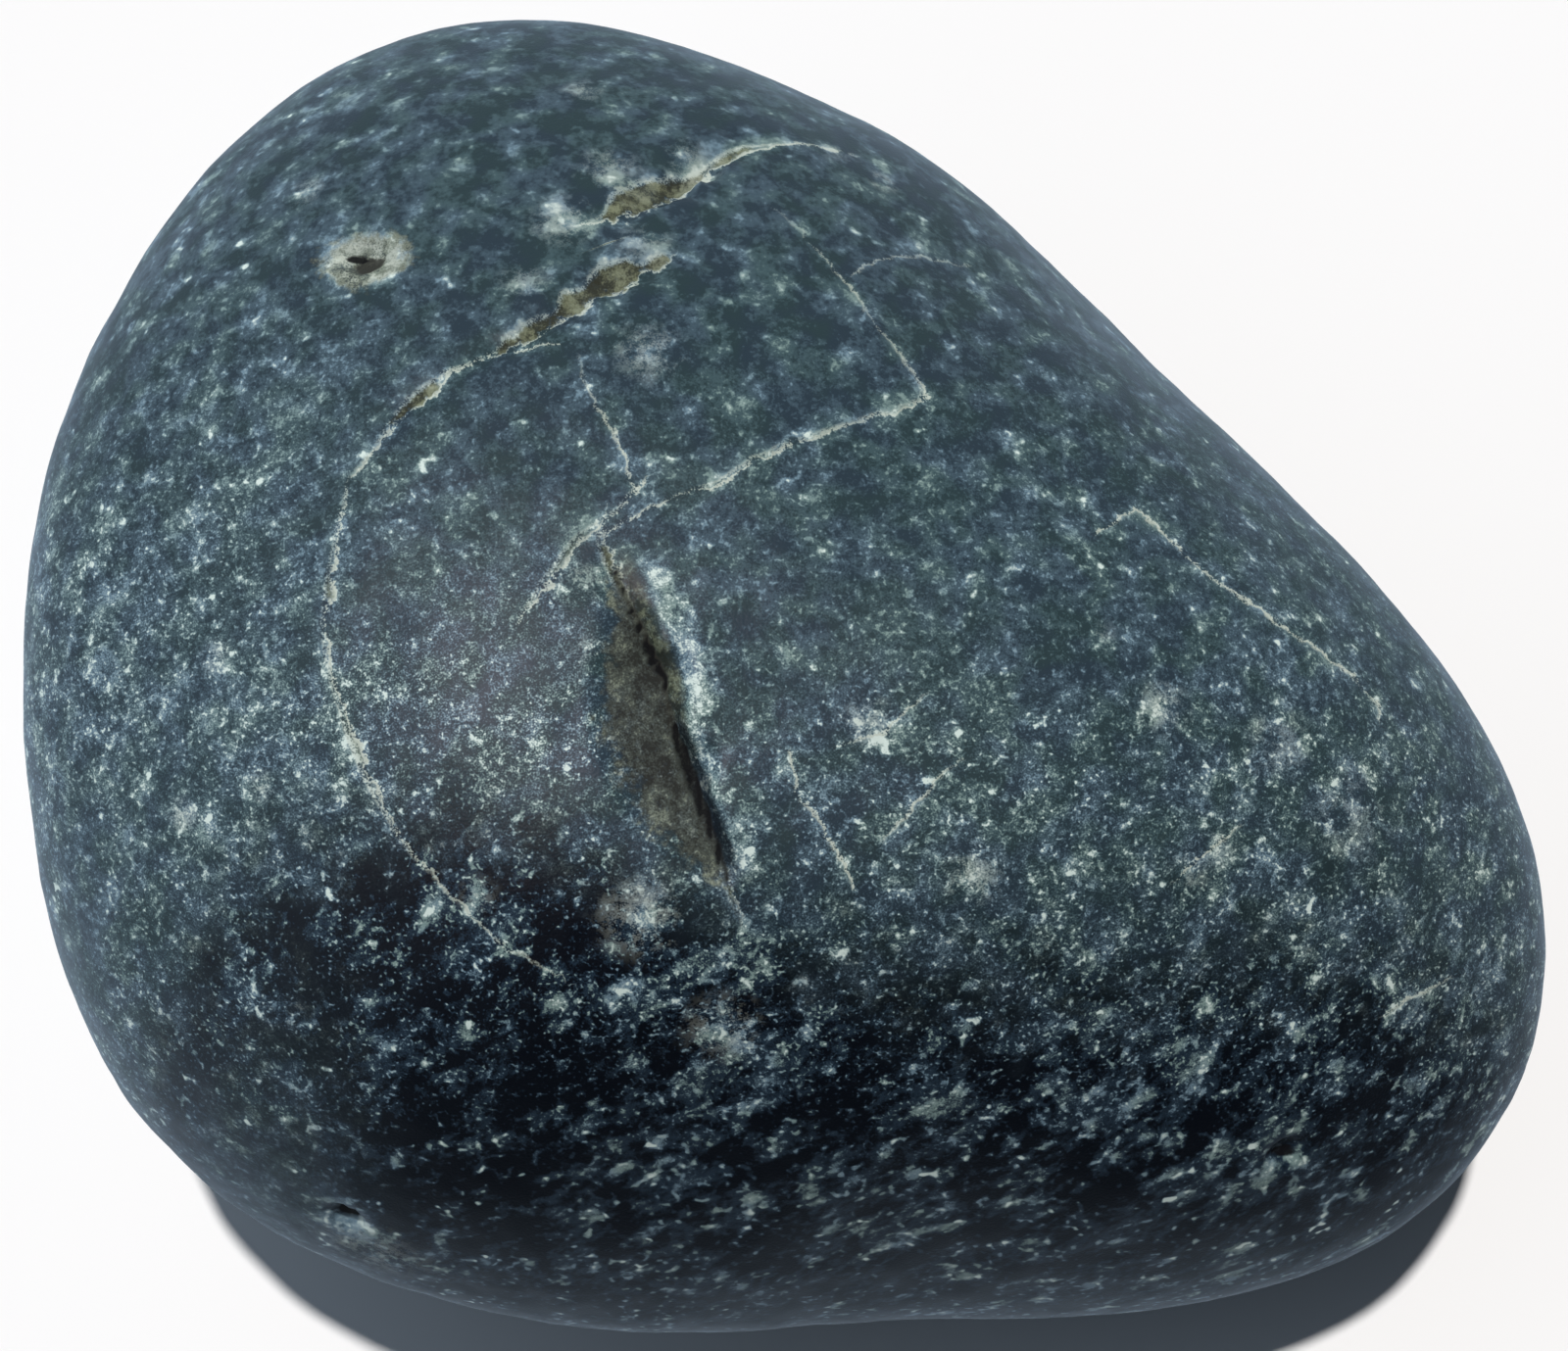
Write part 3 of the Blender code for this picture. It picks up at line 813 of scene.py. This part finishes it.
def stone_fields(jade):
    """What a place of the stone is like: its marks, zones and noises, for every layer of the finish."""
    here = SimpleNamespace()
    here.place = jade.add("ShaderNodeTexCoord", None, None, OBJECT_COORDINATES)
    here.past_shoulder, here.left, here.back, here.forward = jade.mark("zones")
    here.clots, here.ring, here.ring_strength, here.along_gash = jade.mark("spots")
    here.beside, here.facet, here.crevice, here.swelling = jade.mark("gash")
    here.slit, here.pit_gap, here.climb, here.crust = jade.mark("pits")

    here.hue = jade.noise(here.place, HUE_SIZE, 1.0, 0.7)
    here.dust = jade.noise(here.place, DUST_SIZE, 0.0) - 0.5
    here.stray = (jade.noise(here.place, STRAY_SIZE, 2.0, 0.65) - 0.5) * 0.9
    here.grain = jade.noise(here.place, GRAIN_SIZE, 3.0, 0.90 - 0.25 * here.back) - 0.5
    here.fine = here.grain * 2.0
    here.mottle = 0.5 + here.fine
    here.crumbling = here.mottle + here.dust * 0.5
    squeeze = jade.vector("DOT_PRODUCT", here.place, GRAIN_DIRECTION, 1) * SQUEEZE
    moved = {0: GRAIN_DIRECTION, "Scale": squeeze}
    moved = jade.add("ShaderNodeVectorMath", {"operation": "SCALE"}, moved)
    here.drawn = jade.vector("ADD", here.place, moved)
    here.streaks = jade.noise(here.drawn, STREAK_SIZE, 3.0, 0.80) - 0.5

    here.across = jade.parts(here.place)[0]
    # The front zone carries the front face's painted shade; at the front's left end, the calm zone, that
    # painted shade fades.
    here.calm = jade.ramp(here.across, *CALM_SIDE) * jade.ramp(here.past_shoulder, *CALM_DEPTH)
    turn = jade.ramp(here.past_shoulder + (here.hue - 0.5) * 1.6, *FRONT_EDGE)
    here.front = turn * (1.0 - 0.85 * here.calm)
    # Painted sheen: a patch of the crown, about the sheen lamp's highlight, with more glitter in its
    # colour.
    flattened = jade.vector("MULTIPLY", here.place, PAINTED_SHEEN_STRETCH)
    here.glow = jade.ramp(jade.vector("DISTANCE", flattened, PAINTED_SHEEN_MIDDLE, 1), *PAINTED_SHEEN_REACH)
    here.soft = jade.highest(jade.ramp(here.forward, *SOFT_FRONT) * 0.8, here.back * 0.85)
    # Livelier grains on the left flank, in the painted sheen patch and just above the shoulder.
    here.lively = jade.highest(here.left, here.glow * 0.3, jade.ramp(here.past_shoulder, *LIVELY_EDGE))
    return here


print("satin glow, mm:", np.round(PAINTED_SHEEN_MIDDLE[:2] / PAINTED_SHEEN_STRETCH[:2] / MM, 1))

# %% The pale grains and spots
GRAIN_PEAK = 0.85
GLINTS = (0.17 * MM, 0.55, GRAIN_PEAK)
CRUMBS = (0.42 * MM, 0.56, GRAIN_PEAK)
LUMPS = (1.1 * MM, 0.56, GRAIN_PEAK)
FLECKS = (0.75 * MM, 0.42, 0.90)
CLOT_EDGE = (0.15, 0.85)
RING_INNER = (0.30, 0.50)
RING_OUTER = (1.10, 0.90)
LIP_REACH = (2.6, 1.2)
LIP_BELOW = (0.2, -0.6)
UPPER_GASH = (0.62, 0.46)
RIM_OUTER = (-1.9, -0.9)
RIM_INNER = (-0.35, -0.75)
RIM_ENDS = (0.1, 0.35)


def grain_rise(jade, here):
    """How much brighter the pale grains make the stone: four sizes of grain over each other."""
    lumps = jade.dots(here.drawn, *LUMPS)
    rise = jade.dots(here.place, *GLINTS) * (0.45 + 0.25 * here.lively) * (1.0 - here.soft)
    rise = rise + lumps * (0.30 + 0.05 * here.back)
    crumbs = jade.dots(here.place, *CRUMBS) * (0.38 + 0.12 * here.lively - 0.16 * here.back)
    rise = rise + crumbs * (1.0 + 1.6 * lumps)
    return rise + jade.dots(here.drawn, *FLECKS) * here.front * 0.40


def spot_rise(jade, here):
    """How much brighter the clots, the rings, the lips of the pits and the gash's rim make it."""
    rise = jade.ramp(here.clots + here.stray * 0.5, *CLOT_EDGE) * 0.45
    wavy = here.ring + here.stray * 0.5
    band = jade.ramp(wavy, *RING_INNER) * jade.ramp(wavy, *RING_OUTER)
    rise = rise + band * here.ring_strength * 0.40
    lip = jade.ramp(here.pit_gap + here.stray * 2.2, *LIP_REACH) * here.crust
    rise = rise + lip * (0.30 + 0.35 * jade.ramp(here.climb, *LIP_BELOW))
    here.upper = jade.ramp(here.along_gash, *UPPER_GASH)
    rim = jade.ramp(here.beside + here.stray * 2.0 + here.upper * 0.7, *RIM_OUTER)
    rim = rim * jade.ramp(here.beside + here.stray + here.upper * 0.5, *RIM_INNER)
    rim = rim * jade.ramp(here.swelling, *RIM_ENDS)
    return rise + rim * (0.40 + 0.30 * here.upper)


print("grains, mm:", [round(grains[0] / MM, 2) for grains in (GLINTS, CRUMBS, FLECKS, LUMPS)])

# %% The veins' masks
VEIN_CLOSE = (1.9, 1.0)  # millimetres from a vein, past which its marks stop
CORE_EDGE = (0.12, -0.14)
CORE_LEAST = (0.05, 0.15)
EDGE_WIDTH = 0.115
EDGE_SHARP = 0.02
EDGE_BREAKS = (0.20, 0.54)
BRUISE_WIDTH = 0.7
EDGE_RISE = 0.60
BRUISE_RISE = 0.25


def vein_masks(jade, name, here):
    """Where a set of veins has its pale edge, lighter on its lit side as painted light, its bruised border
    and its brown core.
    """
    beside, near, strength, half_width = jade.mark(name)
    off = beside + here.stray * 0.5 + here.fine * 0.30 + here.dust * 0.15
    half = half_width * (1.0 + 2.0 * here.stray)
    half = half + here.fine * 0.35 * jade.ramp(half_width, 0.0, 0.2)
    core = jade.ramp(abs(off) - half, *CORE_EDGE) * jade.ramp(half_width, *CORE_LEAST)
    half = jade.highest(half, 0.0)
    width = EDGE_WIDTH + half * 0.4
    # Painted light and shade: the pale edge is full on a vein's lit side and half as strong on its shaded
    # side.
    lit = jade.ramp(abs(off + half + width * 0.3), width, EDGE_SHARP)
    shaded = jade.ramp(abs(off - half - width * 0.3), width, EDGE_SHARP) * 0.5
    breaks = jade.ramp(here.mottle + here.dust * 0.8, *EDGE_BREAKS)
    cream_and_lit_edge = (lit + shaded) * strength * breaks
    bruise = jade.ramp(abs(off), BRUISE_WIDTH + half * 1.5, 0.1) * strength
    close = jade.ramp(near, *VEIN_CLOSE)
    return cream_and_lit_edge * close, bruise * close, core * close


def all_veins(jade, here):
    """Pale edges and brown cores of every set together, and how much brighter the veins make it."""
    masks = [vein_masks(jade, name, here) for name in VEIN_SETS]
    here.edges, bruises, here.cores = (sum(kind) for kind in zip(*masks))
    return here.edges * EDGE_RISE + bruises * BRUISE_RISE


print("vein sets:", ", ".join(VEIN_SETS))

# %% The ground of the stone
TINT = (0.36, 0.64)
CROWN_LEVEL = 0.20
SHADED_FRONT_LEVEL = 0.04
DIM_BELT = -10.0  # the dimmer belt behind the gash, in millimetres forward of the middle
DIM_BELT_REACH = (8.0, 3.0)
BRIGHT_SIDE = (2.0 * MM, 14.0 * MM)
DARK_SIDE = (-11.0 * MM, -17.0 * MM)


def ground_colour(jade, here, rise):
    """The felted ground with its grains: one scale of tones for the crown and a darker one, painted shade,
    for the front.
    """
    tint = jade.ramp(here.hue, *TINT) * (1.0 - 0.4 * here.left)
    deep = jade.mix(tint, DEEP_BLUE, DEEP_GREEN)
    middle = jade.mix(tint, MIDDLE_BLUE, MIDDLE_GREEN)
    pale = jade.mix(tint, PALE_BLUE, PALE_GREEN)
    sharp = 1.0 - here.soft
    dim_belt = jade.ramp(abs(here.forward - DIM_BELT), *DIM_BELT_REACH) * (1.0 - here.left)
    # Painted light: 0.20 * left lightens the left flank, standing in for the haze of light on it; the
    # painted sheen patch adds a little light too.
    crown = CROWN_LEVEL + 0.20 * here.left + 0.01 * here.glow - 0.06 * here.back - 0.06 * dim_belt
    crown = crown + here.grain * (1.9 + 0.6 * here.lively * (1.0 - here.back) + 0.7 * here.back)
    # Painted sheen: more fine glitter in the sheen patch.
    crown = crown + here.dust * (0.6 + 0.45 * here.lively + 0.8 * here.glow) * sharp + rise
    # Painted shade: the front face gets a much darker ground than the crown, as it turns away from the
    # light; its streaks are the stone's own grain.
    front = SHADED_FRONT_LEVEL + 0.05 * jade.ramp(here.across, *BRIGHT_SIDE)
    front = front - 0.10 * jade.ramp(here.across, *DARK_SIDE)
    front = front + here.streaks * (2.8 - 0.6 * here.calm) + here.dust * 0.6 * sharp + rise
    crown_colour = grain_colour(jade, crown, (deep, middle, pale, BRIGHT))
    front_colour = grain_colour(jade, front, (SHADE_INK, SHADE_DUSK, pale, BRIGHT))
    return jade.mix(here.front, crown_colour, front_colour)


print("ground levels:", CROWN_LEVEL, SHADED_FRONT_LEVEL)

# %% The stains, and the gash with its painted shade
FILLING_STEP = (0.28, 0.86)
EDGE_STAIN_AND_LIGHT = (0.05, 0.85)
CLOT_STAIN = (0.1, 0.8)
CLOT_BREAKS = (0.38, 0.62)
RING_STAIN = (1.10, 0.80)
CRUSTED = (0.5, 0.9)  # strength from which a ring has a crust and a hole
CRUST_STEP = (0.36, 0.80)
CRUST_SPOTS = (0.48, 0.26)
HOLE_EDGE = (0.42, 0.30)
WALL_OUTER = (-1.1, -0.5)
WALL_INNER = (0.3, 0.0)
STONE_STEP = (0.22, 0.60)
STONE_SPOTS = (0.56, 0.95)
FACET_EDGE = (0.02, 0.30)
SHADE_OUTER = (-0.85, -0.45)
SHADE_INNER = (0.15, -0.05)
SHADE_START = (0.48, 0.58)
CREVICE_SHADOW_EDGE = (0.35, 0.75)
SLIT_EDGE = (1.20, 0.85)


def stained(jade, here, colour):
    """Cream edges and olive filling along the veins, the edges lighter on their lit side as painted light,
    rose on the clots, a crust round the ring.
    """
    patches = here.mottle + here.dust * 0.4 + here.stray * 0.5
    here.filling = jade.mix(jade.ramp(patches, *FILLING_STEP), FILLING_DARK, FILLING_PALE)
    colour = jade.mix(jade.ramp(here.edges, *EDGE_STAIN_AND_LIGHT) * 0.62, colour, CREAM)
    colour = jade.mix(jade.ramp(here.cores, 0.0, 1.0) * 0.85, colour, here.filling)
    clotted = jade.ramp(here.clots + here.stray * 0.5, *CLOT_STAIN)
    clotted = clotted * jade.ramp(here.mottle + here.dust * 0.6, *CLOT_BREAKS)
    colour = jade.mix(clotted * 0.32, colour, ROSE)
    crusted = jade.ramp(here.ring_strength, *CRUSTED)
    warm = jade.ramp(here.ring + here.stray * 0.8 + here.fine * 0.4, *RING_STAIN) * crusted
    crust = jade.mix(jade.ramp(here.crumbling + here.stray * 0.6, *CRUST_STEP), OLIVE_CREAM, CREAM)
    crust = jade.mix(jade.ramp(here.crumbling - here.stray * 0.6, *CRUST_SPOTS), crust, OLIVE)
    colour = jade.mix(warm * 0.75, colour, crust)
    hole = jade.ramp(here.ring + here.stray * 0.2, *HOLE_EDGE) * crusted
    return jade.mix(hole * 0.9, colour, BROWN)


def gashed(jade, here, colour):
    """Olive on the gash's upper wall, weathered stone on its facet, and painted shade: ink on the wall and
    black in the crevice.
    """
    wall = jade.ramp(here.beside + here.stray * 0.6, *WALL_OUTER) * jade.ramp(here.beside, *WALL_INNER)
    wall = wall * here.upper * jade.ramp(here.swelling, 0.05, 0.4)
    colour = jade.mix(wall * 0.70, colour, here.filling)
    stone = jade.mix(jade.ramp(here.crumbling + here.stray * 0.3, *STONE_STEP), BROWN, OLIVE)
    stone = jade.mix(jade.ramp(here.crumbling, *STONE_SPOTS), stone, OLIVE_CREAM)
    inside = jade.ramp(here.facet + here.stray * 0.5 + here.fine * 0.35, *FACET_EDGE)
    inside = inside * jade.ramp(here.facet, 0.0, 0.06)
    here.inside = inside * jade.ramp(here.beside + here.stray * 0.4, -0.20, 0.0)
    colour = jade.mix(here.inside * 0.85, colour, stone)
    # Painted shade: the gash's steep wall is darkened with ink, as if in shadow.
    shade = jade.ramp(here.beside + here.stray * 0.9, *SHADE_OUTER) * jade.ramp(here.beside, *SHADE_INNER)
    shade = shade * jade.ramp(here.along_gash + here.stray * 0.1, *SHADE_START)
    here.shade = shade * jade.ramp(here.swelling, 0.1, 0.4)
    colour = jade.mix(here.shade * 0.75, colour, SHADE_INK)
    # Painted shadow: the crevice at the gash's foot is painted black.
    gap = jade.ramp(here.crevice + here.stray * 0.6 + here.fine * 0.5 + here.dust * 0.3, *CREVICE_SHADOW_EDGE)
    return jade.mix(gap * 0.95, colour, SHADOW_BLACK)


print("stains: cream, olive, rose, crust, gash and crevice")

# %% The finish
TOOTH_SIZE = 0.12 * MM
TOOTH_DEPTH = 0.03 * MM
TOOTH_STRENGTH = 0.25
SATIN = 0.38  # roughness of the worn skin
SATIN_CHANGE = 0.14
BROKEN_ROUGHNESS = 0.40  # how much rougher the broken stone is


def jade_finish():
    """The whole finish of the stone."""
    material = bpy.data.materials.new("nephrite")
    jade = Graph(material)
    here = stone_fields(jade)
    rise = grain_rise(jade, here) + spot_rise(jade, here) + all_veins(jade, here)
    colour = ground_colour(jade, here, rise)
    colour = stained(jade, here, colour)
    colour = gashed(jade, here, colour)
    # Painted shadow: the slit of each pit is painted black.
    slit = jade.ramp(here.slit + here.stray * 0.7, *SLIT_EDGE)
    broken = jade.highest(here.inside, here.shade, here.cores, slit)
    tooth = {"Strength": TOOTH_STRENGTH, "Distance": TOOTH_DEPTH,
             "Height": jade.noise(here.place, TOOTH_SIZE, 0.0)}
    jade.shade("Principled BSDF", {
        "Base Color": jade.mix(slit * 0.97, colour, SHADOW_BLACK),
        "Roughness": SATIN + SATIN_CHANGE * here.hue + BROKEN_ROUGHNESS * broken,
        "Normal": jade.add("ShaderNodeBump", None, tooth),
        "IOR": JADE_IOR,
        "Specular IOR Level": JADE_SHINE,
    })
    return material


jade.data.materials.clear()
jade.data.materials.append(jade_finish())
print("nephrite:", len(jade.data.materials[0].node_tree.nodes), "nodes")

# %% [markdown]
# ## The stage
#
# The floor is plain and pale. The key light stands high and almost straight behind the stone, so that
# the crown faces it and the front falls away into shade, with a narrow shadow under it; the front's
# colour is painted darker as well, as shade. A second lamp, high on the left, gives only the satin sheen
# of the crown, and where that sheen falls the crown's colour has painted glitter too. The rest is dim
# light from a tent, which is open on the left, so the left end of the shadow is paler and bluer than
# the right.

# %% The stage's dimensions
FLOOR_HALF = 1.5
PAPER = (0.835, 0.822, 0.822, 1.0)
PAPER_ROUGHNESS = 0.9
PAPER_SHINE = 0.1
# Each lamp: strength, apparent size, tilt from straight up, bearing and colour.
KEY = (3.6, np.radians(2.5), np.radians(22.5), np.radians(99.0), (1.0, 0.985, 0.96))
SHEEN = (1.7, np.radians(8.0), np.radians(17.5), np.radians(176.0), (1.0, 0.88, 0.93))
SKY_BLUE = (0.64, 0.81, 1.0, 1.0)
BACKDROP_GREY = (0.93, 0.95, 1.0, 1.0)
BACKDROP_LIGHT = 0.80
DIM_LIGHT = 0.024
SIDE_LIGHT = 0.62
DIM_REFLECTION = 0.051
# Pale cloths that only reflections show: where each starts and ends, and how bright it is.
BACK_CLOTH = ((-0.55, 0.10), 0.50)
LOW_CLOTH = ((-0.30, -0.65), 0.60)
LEFT_CLOTH = ((-0.30, -0.80), (0.15, -0.30), 0.80)
SIDE_DIRECTION = (-0.90, 0.45)  # to the left and a little back
SIDE_REACH = (0.0, 0.9)


def make_floor():
    """A pale floor, matte like heavy paper."""
    corners = FLOOR_HALF * np.array(((-1, -1, 0), (1, -1, 0), (1, 1, 0), (-1, 1, 0)))
    mesh = bpy.data.meshes.new("floor")
    mesh.from_pydata(corners, [], [(0, 1, 2, 3)])
    material = bpy.data.materials.new("paper")
    Graph(material).shade("Principled BSDF", {
        "Base Color": PAPER,
        "Roughness": PAPER_ROUGHNESS,
        "Specular IOR Level": PAPER_SHINE,
    })
    mesh.materials.append(material)
    floor = link_object("floor", mesh)
    floor.visible_glossy = False


def make_lamp(name, energy, angle, tilt, bearing, colour):
    """A parallel lamp at a tilt from straight up, towards a bearing."""
    lamp = bpy.data.lights.new(name, "SUN")
    lamp.energy = energy
    lamp.angle = angle
    lamp.color = colour
    holder = link_object(name, lamp)
    towards = Vector((np.sin(tilt) * np.cos(bearing), np.sin(tilt) * np.sin(bearing), np.cos(tilt)))
    holder.rotation_euler = towards.to_track_quat("Z", "Y").to_euler()
    return holder


def make_tent():
    """Dim light that is stronger from the left, cloths for reflections, and a plain backdrop."""
    world = bpy.data.worlds.new("tent")
    tent = Graph(world)
    look = tent.add("ShaderNodeTexCoord", None, None, LOOK_DIRECTION)
    breadth, depth, height = tent.parts(look)
    cloth = tent.ramp(depth, *BACK_CLOTH[0]) * BACK_CLOTH[1]
    cloth = cloth + tent.ramp(height, *LOW_CLOTH[0]) * LOW_CLOTH[1]
    left_cloth = tent.ramp(breadth, *LEFT_CLOTH[0]) * tent.ramp(depth, *LEFT_CLOTH[1])
    cloth = cloth + left_cloth * LEFT_CLOTH[2]
    reflected = tent.add("ShaderNodeLightPath", None, None, GLOSSY_RAY)
    seen = tent.add("ShaderNodeLightPath", None, None, CAMERA_RAY)
    sideways = breadth * SIDE_DIRECTION[0] + depth * SIDE_DIRECTION[1]
    strength = DIM_LIGHT + tent.ramp(sideways, *SIDE_REACH) * (1.0 - reflected) * SIDE_LIGHT
    strength = strength + reflected * (cloth + DIM_REFLECTION)
    tent.shade("Background", {
        "Color": tent.mix(seen, SKY_BLUE, BACKDROP_GREY),
        "Strength": strength * (1.0 - seen) + BACKDROP_LIGHT * seen,
    })
    bpy.context.scene.world = world


make_floor()
key = make_lamp("key", *KEY)
key.visible_glossy = False
sheen = make_lamp("sheen", *SHEEN)
sheen.visible_diffuse = False
make_tent()
bpy.context.scene.view_settings.view_transform = "Standard"
print("stage: floor, key, sheen and tent")

# %% [markdown]
# ## The camera
#
# The camera looks almost straight down, tipped nine degrees towards the front, from less than twice
# the stone's length away.

# %% The camera
IMAGE_WIDTH = 1600
PIXELS_PER_MM = 20.0
CAMERA_REACH = 126.0 * MM
CAMERA_ELEVATION = np.radians(81.0)
CAMERA_TARGET = Vector((-0.1 * MM - shift[0], -0.4 * MM - shift[1], 17.0 * MM - shift[2]))
SENSOR = 36.0
NEAREST = 0.005


def make_camera():
    """Camera whose frame holds IMAGE_WIDTH pixels at PIXELS_PER_MM on the plane of the girdle."""
    data = bpy.data.cameras.new("camera")
    data.sensor_width = SENSOR
    data.lens = SENSOR * PIXELS_PER_MM * CAMERA_REACH / MM / IMAGE_WIDTH
    data.clip_start = NEAREST
    camera = link_object("camera", data)
    back = Vector((0.0, -np.cos(CAMERA_ELEVATION), np.sin(CAMERA_ELEVATION)))
    camera.location = CAMERA_TARGET + back * CAMERA_REACH
    camera.rotation_euler = back.to_track_quat("Z", "Y").to_euler()
    bpy.context.scene.camera = camera
    return camera


camera = make_camera()
print("camera, lens:", round(camera.data.lens, 1))
